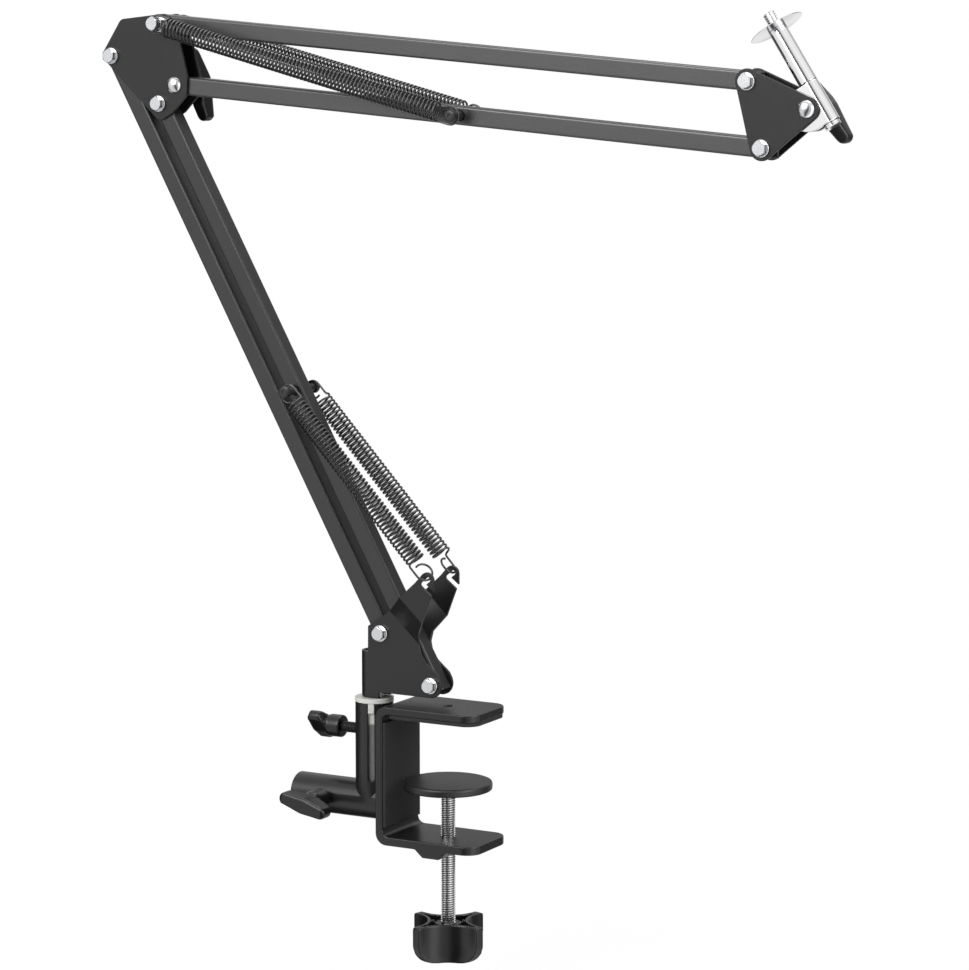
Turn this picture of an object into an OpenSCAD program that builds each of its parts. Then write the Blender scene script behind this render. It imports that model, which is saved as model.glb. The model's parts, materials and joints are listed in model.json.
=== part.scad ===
// Desk-clamp boom arm for a microphone. Millimetres, Z up.
// Origin: where the clamp screw's axis meets the underside of the top pad.
// +X runs in over the desk, the arm swings in the XZ plane.

/* [Build] */
// Which sub-part to make

/* [Desk clamp] */
// Width of the bracket along the desk edge
clamp_w = 40; // [30:1:60]
// Reach of the jaws in from the desk edge
jaw_reach = 55.6; // [45:0.2:75]
// Opening from the top pad down to the lower jaw
jaw_open = 65.4; // [45:0.2:75]
// Thickness of the top jaw and of the wall
wall_t = 4.2; // [3:0.1:6]
// Thickness of the lower jaw
low_t = 4.8; // [3:0.1:7]
// Corner radius of the jaws seen from above
jaw_corner = 8.9; // [4:0.1:15]
// Outside radius of the two bends
bend_out = 6.5; // [4:0.1:9]
// Inside radius of the two bends
bend_in = 4.2; // [2:0.1:6]
// Thickness of the rubber pad under the top jaw
top_pad_t = 2.2; // [1:0.1:4]
// Thickness of the rubber pad on the wall
wall_pad_t = 1.6; // [1:0.1:3]
// Depth of the thread boss under the lower jaw
boss_h = 4.2; // [2:0.1:8]
// Radius of the small hole through the top jaw
jaw_hole_r = 2.5; // [1.5:0.1:4]

/* [Clamp screw] */
// Distance of the screw axis from the desk edge
screw_x = 28.5; // [22:0.5:36]
// Radius of the M8 screw
screw_r = 4; // [3:0.5:5]
// Depth of the disc's top face below the top pad, as photographed
disc_drop = 35; // [2:1:55]
// Radius of the pressure disc
disc_r = 24.2; // [15:0.2:30]
// Thickness of the pressure disc
disc_t = 4.4; // [3:0.1:7]
// Length of threaded rod between the disc and the knob
screw_free = 71; // [68:1:90]
// Radius of the knob at its four horns
knob_r = 24.7; // [20:0.1:28]
// Height of the knob
knob_h = 21.5; // [18:0.5:30]
// Turn of the knob's first scallop about its axis, in degrees
scallop_turn = 29; // [0:1:89]
// Radius of the four wide scallops in the knob
scallop_r = 18.2; // [16:0.1:22]
// Least distance from the knob's axis to a scallop
waist_r = 11.3; // [10:0.1:14]

/* [Swivel socket] */
// Outside radius of the two socket tubes
socket_r = 10.5; // [9.5:0.1:13]
// Distance of the upright tube's axis behind the desk edge
post_back = 17.8; // [17.5:0.1:26]
// Depth of the level tube's axis below the desk top
stub_drop = 50.4; // [44:0.1:54]
// Length of the level tube
level_len = 59.5; // [45:0.5:80]
// Radius of the stub on the clamp's back
stub_r = 8; // [6:0.1:8.2]
// Height of the upright tube's rim above the desk top
rim_z = 4.9; // [2:0.1:5.2]
// Radius of the sleeve inside the upright tube
sleeve_r = 8.4; // [7.2:0.1:8.6]
// Thickness of the sleeve's flange
flange_t = 2.5; // [1.5:0.1:2.6]
// Width of the slot down the upright tube
slot_w = 3.6; // [2:0.1:5]
// Turn of the slot from the front of the clamp
slot_turn = 20; // [0:1:40]
// Radius of the two locking screws
lock_r = 3; // [2.5:0.1:3.5]

/* [Base bracket] */
// Sheet thickness of all bracket plates
plate_t = 1.5; // [1:0.1:2.5]
// Height of main pivot above the desk top
main_z = 43.9; // [41:0.1:50]
// Distance of main pivot in front of the upright tube's axis
main_dx = 8; // [7:0.1:12]
// Distance between the two base pivots
base_link = 40.7; // [38:0.1:44]
// Slope of the line through the two base pivots
base_link_turn = 39.8; // [36:0.1:43]
// Distance of the spring tabs from the middle plane
tab_y = 13.6; // [13:0.1:16]
// Slope of the direction in which the tabs are set out
tab_turn = 47; // [44:1:50]
// Radius of the hook at the end of a tab
hook_r = 4.2; // [3.6:0.1:5]
// Width of the notch in a tab
notch_w = 2.6; // [2.2:0.1:3]

/* [Arms] */
// Side of the square tubes
tube_w = 10; // [8:0.5:12]
// Wall of the square tubes
tube_wall = 1; // [0.8:0.1:1.5]
// Corner radius of the square tubes
tube_corner = 1.4; // [0.5:0.1:2]
// Pivot to pivot length of all four tubes
arm_len = 355; // [280:1:450]
// Tube left beyond each pivot
tube_over = 5; // [4:0.5:6]
// Slope of the lower arm, from +X
lower_turn = 119; // [95:0.1:122]
// Slope of the upper arm, from +X
upper_turn = -4.6; // [-30:0.1:40]
// Distance between the two head pivots
head_link = 34.5; // [30:0.1:38]
// Slope of the line through the two head pivots
head_link_turn = 76; // [70:0.5:80]
// Level offset of the upper arm's first pivot at the elbow
elbow_dx = 33.2; // [31:0.1:36]
// Upright offset of the upper arm's first pivot at the elbow
elbow_dz = 17.7; // [14:0.1:21]
// Side gap between the tubes and the plates
side_gap = 0.3; // [0.3:0.05:0.6]

/* [Springs] */
// Middle radius of the coils
coil_r = 4.9; // [4:0.1:5.4]
// Radius of the wire
wire_r = 0.6; // [0.4:0.05:0.7]
// Curls drawn on each lower spring
lower_curls = 15; // [8:1:20]
// Curls drawn on each upper spring
upper_curls = 19; // [8:1:24]
// Distance of the spring axes from the middle plane
spring_y = 13.8; // [13.5:0.1:15]
// Radius of the spring pins
pin_r = 2.4; // [2:0.1:3]
// Distance of the lower pin up its tube
lower_pin_s = 178; // [150:1:200]
// Distance of the upper pin out along its tube
upper_pin_s = 180; // [150:1:200]

/* [Fasteners] */
// Radius of the M4 bolts
bolt_r = 2; // [1.8:0.1:3]
// Width across the flats of heads and nuts
hex_af = 7; // [6.5:0.5:9]
// Height of the hexagon heads
head_h = 2.8; // [2.5:0.1:4]
// Height of the nuts
nut_h = 4; // [3:0.1:4.2]
// Radius of the washers
washer_r = 4.5; // [4:0.1:5.5]
// Thickness of the washers
washer_t = 1; // [0.6:0.1:1.2]

/* [Head] */
// Level offset of the swivel bolt from the head's top pivot
apex_dx = 32.6; // [30:0.1:38]
// Drop of the swivel bolt below the head's top pivot
apex_dz = 13.6; // [9:0.1:17]
// Slope of the microphone post, from +X
post_turn = 123; // [90:0.5:130]
// Distance of the post's axis from the swivel bolt
post_off = 5.5; // [5.5:0.1:7]
// Radius of the post's neck
neck_r = 2.7; // [2.2:0.1:2.7]
// Radius of the post's body
body_r = 4.9; // [4:0.1:4.9]
// Length of the post's body
body_len = 31.8; // [24:0.1:40]
// Radius of the rounded ears of the clip
ear_r = 11.4; // [9:0.1:13]
// Radius of the post's thin flange
flange_r = 14.5; // [10:0.1:16]
// Radius of the stud, 1/4 inch
stud_r = 3.175; // [3:0.005:4]
// Length of the stud
stud_len = 7.9; // [6:0.1:12]

/* [Hidden] */
$fn = 28;
// radial play of parts that turn on one another
play = 0.06;
// gap kept between faces of different bodies
gap = 0.3;
desk_x = -screw_x;
jaw_x = desk_x + jaw_reach;
pad_x = desk_x - wall_pad_t;
wall_x = pad_x - wall_t;
post_x = desk_x - post_back;
jaw_top = top_pad_t + wall_t;
low_top = -jaw_open;
low_bot = low_top - low_t;
disc_top = -disc_drop;
disc_bot = disc_top - disc_t;
collar_t = 1.8;
collar_bot = disc_bot - collar_t;
spigot_r = screw_r - 1;
knob_top = collar_bot - gap - screw_free;
stub_z = -stub_drop;
level_x1 = wall_x - 0.8;
level_x0 = level_x1 - level_len;
lock_x = level_x0 + 22;
bore_bot = stub_z + stub_r + play + 3;
sleeve_top = rim_z + flange_t;
pan_lock_z = rim_z - 16.4;
half_gap = tube_w / 2 + side_gap;
plate_y = half_gap + plate_t;
post_foot = sleeve_top + gap;
plate_foot = post_foot + 3.4;
roll_top = main_z - 10.6;
pivot_a = [post_x + main_dx, main_z];
pivot_b = pivot_a + base_link * [cos(base_link_turn), -sin(base_link_turn)];
lower_dir = [cos(lower_turn), sin(lower_turn)];
upper_dir = [cos(upper_turn), sin(upper_turn)];
pivot_e1 = pivot_a + arm_len * lower_dir;
pivot_e2 = pivot_b + arm_len * lower_dir;
pivot_e3 = pivot_e1 + [elbow_dx, elbow_dz];
pivot_e4 = pivot_e3 + head_link * [cos(head_link_turn), -sin(head_link_turn)];
pivot_h1 = pivot_e3 + arm_len * upper_dir;
pivot_h2 = pivot_e4 + arm_len * upper_dir;
apex = pivot_h1 + [apex_dx, -apex_dz];
lower_pin = pivot_b + lower_pin_s * lower_dir;
upper_pin = pivot_e4 + upper_pin_s * upper_dir;
hook_at = pivot_a + [33.5, 32.9];
notch_end = hook_at + [0.7, 0.3];
fold_0 = pivot_a * [cos(tab_turn), sin(tab_turn)] + 13.6;
fold_1 = fold_0 + 13.7;
washer_y = plate_y + washer_t;
nut_y = washer_y + nut_h;
// a spring's ends are open loops of the coil's own radius, set off sideways by one bend
bend = 2 * wire_r;
loop_x = coil_r + 1.8 * bend;
hook_len = loop_x + coil_r;
// the loops are drawn in steps of 40 degrees, so their sides stand a little inside the circle
loop_in = loop_x + coil_r * cos(20) - wire_r;
pin_head_y = spring_y - bend + wire_r + 0.4;
tab_line = notch_end - lower_pin;
spring_turn = atan2(tab_line[1], tab_line[0]) + asin(bend / norm(tab_line));
pin_to_coil = loop_in - pin_r - play;
bolt_to_coil = loop_in - bolt_r - play;
lower_coil = sqrt(norm(tab_line) * norm(tab_line) - bend * bend) - pin_to_coil - hook_len;
upper_line = upper_pin - pivot_e3;
upper_coil = norm(upper_line) - bolt_to_coil - pin_to_coil;
wing_nut_y = washer_y + gap;
neck_low = -ear_r - gap;
neck_high = ear_r + gap;
foot_t = 2.2;
body_top = neck_high + body_len;
stud_base = body_top + 1.5;
seat_r = stud_r + 0.5;

black = [0.07, 0.07, 0.075];
rubber = [0.04, 0.04, 0.04];
zinc = [0.75, 0.76, 0.78];
nylon = [0.86, 0.86, 0.84];

// Lays a drawing in the XZ plane and thickens it from y0 to y1.
module xz(y0, y1) {
    translate([0, y1, 0]) rotate([90, 0, 0]) linear_extrude(y1 - y0) children();
}

// Moves to a point of the XZ plane.
module at(p) {
    translate([p[0], 0, p[1]]) children();
}

// Round bar along Y.
module ybar(r, y0, y1) {
    translate([0, y0, 0]) rotate([-90, 0, 0]) cylinder(h = y1 - y0, r = r);
}

// Hexagon along Y.
module yhex(y0, y1) {
    translate([0, y0, 0]) rotate([-90, 0, 0])
        cylinder(h = y1 - y0, r = hex_af / sqrt(3), $fn = 6);
}

// Rectangle whose two corners on the low-x side are rounded.
module soft_rect(x0, x1, z0, z1, r) {
    translate([x0 + r, z0]) square([x1 - x0 - r, z1 - z0]);
    translate([x0, z0 + r]) square([r + 0.01, z1 - z0 - 2 * r]);
    translate([x0 + r, z0 + r]) circle(r);
    translate([x0 + r, z1 - r]) circle(r);
}

// Plan of a jaw: the two free corners rounded.
module jaw_plan(x0, x1, w, r) {
    mirror([1, 0]) soft_rect(-x1, -x0, -w / 2, w / 2, r);
}

// Outline round a convex row of points, kept r away from them.
module round_the(pts, r) {
    n = len(pts);
    polygon([for (i = [0:n - 1], k = [0, 1])
        let (a = pts[i], b = pts[(i + 1) % n], d = (b - a) / norm(b - a))
        (k == 0 ? a : b) + r * [d[1], -d[0]]]);
    for (p = pts) translate(p) circle(r);
}

// Straight round-ended slot between two points of a drawing, its sides a hair inside the ends.
module slot(p, q, w) {
    d = q - p;
    flat_w = w - 0.02;
    translate(p) circle(w / 2);
    translate(q) circle(w / 2);
    translate(p) rotate(atan2(d[1], d[0])) translate([0, -flat_w / 2]) square([norm(d), flat_w]);
}

// Desk clamp

module clamp_bracket() {
    color(black) difference() {
        intersection() {
            xz(-clamp_w / 2, clamp_w / 2) difference() {
                union() {
                    soft_rect(wall_x, jaw_x, low_bot, jaw_top, bend_out);
                    polygon([[-9.8, low_bot + 1], [-9.8, low_bot], [-5, low_bot - boss_h],
                        [5, low_bot - boss_h], [9.8, low_bot], [9.8, low_bot + 1]]);
                }
                soft_rect(pad_x, jaw_x + 9, low_top, top_pad_t, bend_in);
            }
            translate([0, 0, low_bot - boss_h - 1]) linear_extrude(jaw_top - low_bot + boss_h + 2)
                jaw_plan(wall_x - 1, jaw_x, clamp_w, jaw_corner);
        }
        cylinder(h = jaw_top + 1, r = jaw_hole_r);
        translate([0, 0, low_bot - boss_h - 1])
            cylinder(h = low_t + boss_h + 2, r = screw_r + play);
        translate([wall_x - 1, 0, stub_z]) rotate([0, 90, 0])
            cylinder(h = wall_t + 2, r = stub_r - 3);
    }
}

module top_pad() {
    color(rubber) linear_extrude(top_pad_t)
        jaw_plan(pad_x + bend_in + 0.6, jaw_x - 0.6, clamp_w - 1.2, jaw_corner - 0.6);
}

module wall_pad() {
    color(rubber) translate([pad_x, 1 - clamp_w / 2, low_top + bend_in + 0.6])
        cube([wall_pad_t, clamp_w - 2, jaw_open + top_pad_t - 2 * bend_in - 1.2]);
}

module socket_stub() {
    color(zinc) translate([wall_x, 0, stub_z]) rotate([0, -90, 0]) {
        cylinder(h = level_len - 4, r = stub_r);
        translate([0, 0, -wall_t]) cylinder(h = wall_t + 1, r = stub_r - 3);
    }
}

// Clamp screw

module pressure_disc() {
    color(black) rotate_extrude($fn = 64) polygon([
        [0, disc_top], [disc_r - 0.8, disc_top], [disc_r, disc_top - 0.8],
        [disc_r, disc_bot + 0.6], [disc_r - 0.6, disc_bot], [spigot_r + play, disc_bot],
        [spigot_r + play, disc_top - 1.4], [0, disc_top - 1.4]]);
}

module disc_collar() {
    color(zinc) translate([0, 0, collar_bot]) difference() {
        cylinder(h = collar_t, r = 5.9);
        translate([0, 0, -1]) cylinder(h = collar_t + 2, r = spigot_r + play);
    }
}

module clamp_screw() {
    color(zinc) {
        translate([0, 0, knob_top - 15]) cylinder(h = screw_free + 15, r = screw_r);
        translate([0, 0, collar_bot - gap - 1]) cylinder(h = collar_t + gap + 3.5, r = spigot_r);
    }
}

module scallops(wall) {
    for (a = [0:90:270]) rotate(a + scallop_turn) translate([waist_r + scallop_r, 0])
        circle(scallop_r + wall, $fn = 72);
}

module clamp_knob() {
    top = knob_top;
    low = knob_top - knob_h;
    color(black) difference() {
        rotate_extrude($fn = 48) polygon([
            [0, low], [knob_r * 0.55, low + 0.6], [knob_r * 0.85, low + 2.6],
            [knob_r - 0.6, low + 6], [knob_r, low + 10], [knob_r, top - 0.8],
            [knob_r - 0.8, top], [0, top]]);
        translate([0, 0, low - 1]) linear_extrude(knob_h + 2) scallops(0);
        translate([0, 0, top - 11]) linear_extrude(12) difference() {
            circle(knob_r - 2.4);
            scallops(2.2);
            circle(screw_r + 3);
            for (a = [0:90:90]) rotate(a + scallop_turn) square([2 * knob_r, 1.8], center = true);
        }
        translate([0, 0, top - 15]) cylinder(h = 16, r = screw_r);
    }
}

// Swivel socket

module tee_socket() {
    color(black) difference() {
        union() {
            translate([level_x0, 0, stub_z]) rotate([0, 90, 0])
                cylinder(h = level_len, r = socket_r, $fn = 36);
            translate([post_x, 0, stub_z]) cylinder(h = rim_z - stub_z, r = socket_r, $fn = 36);
        }
        translate([level_x0 - 1, 0, stub_z]) rotate([0, 90, 0])
            cylinder(h = level_len + 2, r = stub_r + play);
        translate([post_x, 0, bore_bot]) cylinder(h = rim_z - bore_bot + 1, r = sleeve_r);
        translate([post_x, 0, 0]) rotate(slot_turn) xz(-socket_r - 2, 0)
            slot([0, bore_bot + slot_w / 2 + 1], [0, rim_z + slot_w], slot_w);
        translate([lock_x, -socket_r - 1, stub_z]) rotate([-90, 0, 0])
            cylinder(h = socket_r + 1, r = lock_r + play);
        translate([post_x - socket_r - 1, 0, pan_lock_z]) rotate([0, 90, 0])
            cylinder(h = socket_r + 1, r = lock_r + play);
    }
}

module nylon_sleeve() {
    color(nylon) translate([post_x, 0, 0]) difference() {
        union() {
            translate([0, 0, rim_z]) cylinder(h = flange_t, r = socket_r + 0.2, $fn = 36);
            translate([0, 0, bore_bot]) cylinder(h = rim_z - bore_bot + 1, r = sleeve_r);
            rotate(slot_turn) translate([-slot_w / 2 + 0.1, 0.3 - socket_r, rim_z - 5.5])
                cube([slot_w - 0.2, 4, 6]);
        }
        translate([0, 0, bore_bot - 1]) cylinder(h = sleeve_top - bore_bot + 2, r = half_gap + play);
        translate([-socket_r, 0, pan_lock_z]) rotate([0, 90, 0])
            cylinder(h = socket_r, r = lock_r + play);
    }
}

// Wing handle on the Z axis: a stem, and above it a blade. The side view of the blade is given.
module wing(stem_r, stem_h, blade_len, blade_w, side) {
    end_r = blade_w * 0.36;
    cylinder(h = stem_h, r = stem_r);
    translate([0, 0, stem_h]) intersection() {
        linear_extrude(30) {
            polygon([[blade_len / 2 - end_r, end_r], [0, blade_w / 2], [end_r - blade_len / 2, end_r],
                [end_r - blade_len / 2, -end_r], [0, -blade_w / 2], [blade_len / 2 - end_r, -end_r]]);
            for (s = [-1, 1]) translate([s * (blade_len / 2 - end_r), 0]) circle(end_r);
        }
        xz(-blade_w, blade_w) polygon(side);
    }
}

// Side view of a blade with both ends alike.
function even_side(l, h) = [[-l / 4, 0], [l / 4, 0], [l / 2, h * 0.3], [l / 2, h - 1.5],
    [l / 2 - 2, h], [2 - l / 2, h], [-l / 2, h - 1.5], [-l / 2, h * 0.3]];

module tilt_lock_screw() {
    color(zinc) translate([lock_x, 0, stub_z])
        ybar(lock_r, -socket_r - 12, -stub_r - gap);
}

module tilt_lock_wing() {
    color(black) translate([lock_x, -socket_r - 3, stub_z]) rotate([90, 0, 0]) difference() {
        rotate(-15) wing(6.2, 10, 30, 9.5, even_side(30, 11.5));
        translate([0, 0, -1]) cylinder(h = 10, r = lock_r);
    }
}

module pan_lock_screw() {
    color(zinc) translate([post_x - half_gap - gap, 0, pan_lock_z]) rotate([0, -90, 0])
        cylinder(h = socket_r + 15 - half_gap, r = lock_r);
}

module pan_lock_wing() {
    color(black) translate([post_x - socket_r - 9.5, 0, pan_lock_z]) rotate([0, -90, 0]) difference() {
        rotate(-48) wing(6.2, 8, 22, 9, even_side(22, 10.5));
        translate([0, 0, -1]) cylinder(h = 8.1, r = lock_r);
    }
}

// Base bracket

module base_outline() {
    polygon([[post_x, post_foot], [post_x + half_gap + plate_t, post_foot],
        [post_x + half_gap + plate_t, plate_foot], [pivot_b[0], pivot_b[1] - 6.8],
        pivot_b + [6.2, 3], pivot_b + [4.6, 6], pivot_a + [28.6, -13.8], pivot_a + [25.4, -9],
        pivot_a + [24.4, -4.1], pivot_a + [24.6, 1], pivot_a + [30.3, 9.3], pivot_a + [36.2, 24.5],
        hook_at + [hook_r, -5.8], hook_at + [hook_r, 0], hook_at,
        hook_at + hook_r * [cos(133), sin(133)], pivot_a + [26.1, 31], pivot_a + [16.2, 22.1],
        pivot_a + [5.9, 13], pivot_a + [0.4, 9.2], pivot_a + [-8, 3.4], [post_x, main_z]]);
    translate(pivot_b) circle(6.8);
    translate(hook_at) circle(hook_r);
}

module base_side() {
    intersection() {
        xz(0, tab_y + plate_t) difference() {
            base_outline();
            translate(pivot_a) circle(bolt_r);
            translate(pivot_b) circle(bolt_r);
            slot(hook_at + [6.2, -9.3], hook_at + [-2.6, -2.5], notch_w);
            slot(hook_at + [-2.6, -2.5], notch_end, notch_w);
        }
        rotate([0, -tab_turn, 0]) linear_extrude(400, center = true) polygon([
            [fold_0 - 90, half_gap], [fold_0 + 0.4, half_gap], [fold_1 + 0.4, tab_y - plate_t / 2],
            [fold_1 + 60, tab_y - plate_t / 2], [fold_1 + 60, tab_y + plate_t / 2],
            [fold_1, tab_y + plate_t / 2], [fold_0, plate_y], [fold_0 - 90, plate_y]]);
    }
}

module base_bracket() {
    color(black) {
        base_side();
        mirror([0, 1, 0]) base_side();
        translate([post_x, 0, post_foot]) linear_extrude(roll_top - post_foot) difference() {
            circle(plate_y);
            circle(half_gap);
            translate([0.01, -20]) square([20, 40]);
        }
    }
}

module base_pin() {
    color(zinc) translate([post_x, 0, bore_bot + gap])
        cylinder(h = roll_top - bore_bot - gap - 0.8, r = half_gap);
}

// Bolt through the plates: head in front, thread end behind.
module bolt_at(p) {
    at(p) {
        ybar(bolt_r, -washer_y - 1, nut_y + 0.8);
        yhex(-washer_y - head_h, -washer_y);
    }
}

module washer_at(p, y) {
    at(p) difference() {
        ybar(washer_r, y, y + washer_t);
        ybar(bolt_r, y - 1, y + washer_t + 1);
    }
}

module nut_at(p, y) {
    at(p) difference() {
        yhex(y, y + nut_h);
        ybar(bolt_r, y - 1, y + nut_h + 1);
    }
}

module base_bolts() {
    color(zinc) for (p = [pivot_a, pivot_b]) bolt_at(p);
}

module base_washers() {
    color(zinc) for (p = [pivot_a, pivot_b], y = [-washer_y, plate_y]) washer_at(p, y);
}

module base_nuts() {
    color(zinc) for (p = [pivot_a, pivot_b]) nut_at(p, washer_y);
}

// Arms

module tube_section(w, r) {
    square([w, w - 2 * r], center = true);
    square([w - 2 * r, w], center = true);
    for (sx = [-1, 1], sy = [-1, 1])
        translate([sx * (w / 2 - r), sy * (w / 2 - r)]) circle(r, $fn = 16);
}

// Square tube from pivot p along a slope, with bores for bolts and a tight one for a pin.
module arm_tube(p, turn, pin_s) {
    color(black) at(p) rotate([0, -turn, 0]) difference() {
        translate([-tube_over, 0, 0]) rotate([90, 0, 90]) linear_extrude(arm_len + 2 * tube_over)
            difference() {
                tube_section(tube_w, tube_corner);
                square(tube_w - 2 * tube_wall, center = true);
            }
        for (s = [0, arm_len]) translate([s, 0, 0]) ybar(bolt_r + play, -tube_w, tube_w);
        if (pin_s > 0) translate([pin_s, 0, 0]) ybar(pin_r, -tube_w, tube_w);
    }
}

module lower_main_tube() {
    arm_tube(pivot_a, lower_turn, 0);
}

module lower_link_tube() {
    arm_tube(pivot_b, lower_turn, lower_pin_s);
}

module upper_main_tube() {
    arm_tube(pivot_e3, upper_turn, 0);
}

module upper_link_tube() {
    arm_tube(pivot_e4, upper_turn, upper_pin_s);
}

module spring_pin(p) {
    color(black) at(p) {
        ybar(pin_r, -pin_head_y - 1, pin_head_y + 1);
        ybar(pin_r + 0.9, -pin_head_y - 3.2, -pin_head_y);
        ybar(pin_r + 0.9, pin_head_y, pin_head_y + 3.2);
    }
}

module lower_spring_pin() {
    spring_pin(lower_pin);
}

module upper_spring_pin() {
    spring_pin(upper_pin);
}

// Springs. A local frame has x along the coil, y towards the outside, z square to both.

// Loop at the start of the wire, round x = -loop_x, and on to the first coil.
start_loop = concat(
    [for (a = [350:-40:110]) [coil_r * cos(a) - loop_x, -bend, coil_r * sin(a)]],
    [[-loop_x, -bend, coil_r], [-1.5 * bend, -bend, coil_r], [-bend, -bend, coil_r],
    [-0.3 * bend, -0.7 * bend, coil_r]]);

// Coil of a given length with n steps of 45 degrees.
function coil(len_, n) = [for (i = [0:n])
    [len_ * i / n, coil_r * cos(90 - 45 * i), coil_r * sin(90 - 45 * i)]];

// Loop that lies flat like the first one, after a coil of 8 c + 4 steps.
function end_flat(x) = concat(
    [[x + 0.3 * bend, -0.7 * bend, -coil_r], [x + bend, -bend, -coil_r],
    [x + 1.5 * bend, -bend, -coil_r], [x + loop_x, -bend, -coil_r]],
    [for (a = [-70:40:170]) [x + loop_x + coil_r * cos(a), -bend, coil_r * sin(a)]]);

// Loop that stands across the tab, after a coil of 8 c + 2 steps.
function end_upright(x) = concat(
    [[x + 0.3 * bend, coil_r, -0.7 * bend], [x + bend, coil_r, -bend],
    [x + 1.5 * bend, coil_r, -bend], [x + loop_x, coil_r, -bend]],
    [for (a = [70:-40:-170]) [x + loop_x + coil_r * cos(a), coil_r * sin(a), -bend]]);

lower_path = concat(start_loop, coil(lower_coil, 8 * lower_curls + 2), end_upright(lower_coil));
upper_path = concat(start_loop, coil(upper_coil, 8 * upper_curls + 4), end_flat(upper_coil));

// Least gap of a wire to itself, between points more than eight diameters apart along it.
function wire_gap(path) = let (n = len(path),
    s = [for (i = 0, a = 0; i < n; i = i + 1, a = i < n ? a + norm(path[i] - path[i - 1]) : a) a])
    min([for (i = [0:n - 2], j = [i + 1:n - 1]) if (s[j] - s[i] > 16 * wire_r)
        norm(path[j] - path[i])]) - 2 * wire_r;

echo(lower_spring_gap = wire_gap(lower_path), upper_spring_gap = wire_gap(upper_path));

function unit(v) = v / norm(v);

// Rings of six points carried along a path without twisting.
function frames(path) = let (n = len(path),
    t = [for (i = [0:n - 1]) unit(path[min(i + 1, n - 1)] - path[max(i - 1, 0)])],
    first = unit(cross(t[0], abs(t[0][0]) < 0.9 ? [1, 0, 0] : [0, 1, 0])))
    [for (i = 0, u = first; i < n; i = i + 1,
        u = i < n ? unit(u - (u * t[i]) * t[i]) : u) [path[i], u, cross(t[i], u)]];

module wire(path) {
    fr = frames(path);
    n = len(fr);
    polyhedron(
        points = [for (f = fr, k = [0:5]) f[0] + wire_r * (cos(60 * k) * f[1] + sin(60 * k) * f[2])],
        faces = concat([[for (k = [0:5]) 5 - k]], [[for (k = [0:5]) 6 * (n - 1) + k]],
            [for (i = [0:n - 2], k = [0:5]) let (a = 6 * i + k, b = 6 * i + (k + 1) % 6)
                [a, b, b + 6, a + 6]]));
}

// Lays a wire path in the arm: from p along a slope, on the rear side.
module lay(p, turn, start) {
    at(p) rotate([0, -turn, 0]) translate([start, spring_y, 0]) children();
}

// From the lower pin to the notch of a tab.
module lower_spring() {
    color(black) lay(lower_pin, spring_turn, pin_to_coil) wire(lower_path);
}

module lower_spring_rear() {
    lower_spring();
}

module lower_spring_front() {
    mirror([0, 1, 0]) lower_spring();
}

// From the elbow's long bolt to the upper pin.
module upper_spring() {
    color(black) lay(pivot_e3, atan2(upper_line[1], upper_line[0]), bolt_to_coil) wire(upper_path);
}

module upper_spring_rear() {
    upper_spring();
}

module upper_spring_front() {
    mirror([0, 1, 0]) upper_spring();
}

// Elbow

module elbow_plate(y0) {
    color(black) xz(y0, y0 + plate_t) difference() {
        round_the([pivot_e1 + [-2, 0.5], pivot_e2 + [0.7, -5], pivot_e2 + [6.6, -1.7],
            pivot_e4 + [4.1, -4.1], pivot_e4 + [4.7, 4.4], pivot_e3 + [8.6, -10.9],
            pivot_e3 + [1.9, 1.4], pivot_e1 + [8.7, 16.4]], 4);
        for (p = [pivot_e1, pivot_e2, pivot_e3, pivot_e4]) translate(p) circle(bolt_r);
    }
}

module elbow_plate_front() {
    elbow_plate(-plate_y);
}

module elbow_plate_rear() {
    elbow_plate(half_gap);
}

module elbow_bolts() {
    color(zinc) for (p = [pivot_e1, pivot_e2]) bolt_at(p);
}

module elbow_washers() {
    color(zinc) {
        for (p = [pivot_e1, pivot_e2, pivot_e3], y = [-washer_y, plate_y]) washer_at(p, y);
        washer_at(pivot_e4, plate_y);
    }
}

module elbow_nuts() {
    color(zinc) {
        for (p = [pivot_e1, pivot_e2, pivot_e3]) nut_at(p, washer_y);
        nut_at(pivot_e3, -nut_y);
        nut_at(pivot_e3, pin_head_y);
    }
}

// Long bolt that also carries the two upper springs.
module elbow_spring_bolt() {
    color(zinc) at(pivot_e3) {
        ybar(bolt_r, -pin_head_y - 1, pin_head_y + nut_h + 1);
        yhex(-pin_head_y - head_h, -pin_head_y);
    }
}

// Round-headed bolt that takes a wing nut.
module carriage_bolt(p) {
    color(zinc) at(p) {
        ybar(bolt_r, -plate_y - 1, wing_nut_y + 13.5);
        translate([0, -plate_y, 0]) rotate([90, 0, 0]) rotate_extrude() polygon([
            [0, 0], [4.7, 0], [4.7, 0.6], [4.2, 1.5], [3.1, 2.3], [1.6, 2.8], [0, 2.9]]);
    }
}

module elbow_carriage_bolt() {
    carriage_bolt(pivot_e4);
}

module wing_nut(p, turn) {
    color(black) at(p) translate([0, wing_nut_y, 0]) rotate([-90, 0, 0]) difference() {
        rotate(-turn) wing(6, 6, 41, 9.4, [[-11, 0], [20.5, 0], [20.5, 1.8], [19.5, 2.8],
            [4, 11], [-18.5, 11], [-20.5, 9.5], [-20.5, 3.6]]);
        translate([0, 0, -1]) cylinder(h = 15, r = bolt_r + play);
    }
}

module elbow_wing_nut() {
    wing_nut(pivot_e4, 98);
}

// Head

module head_plate(y0) {
    color(black) xz(y0, y0 + plate_t) difference() {
        round_the([pivot_h1, pivot_h2, apex], 6.4);
        for (p = [pivot_h1, pivot_h2, apex]) translate(p) circle(bolt_r);
    }
}

module head_plate_front() {
    head_plate(-plate_y);
}

module head_plate_rear() {
    head_plate(half_gap);
}

module head_bolts() {
    color(zinc) for (p = [pivot_h1, pivot_h2]) bolt_at(p);
}

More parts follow.
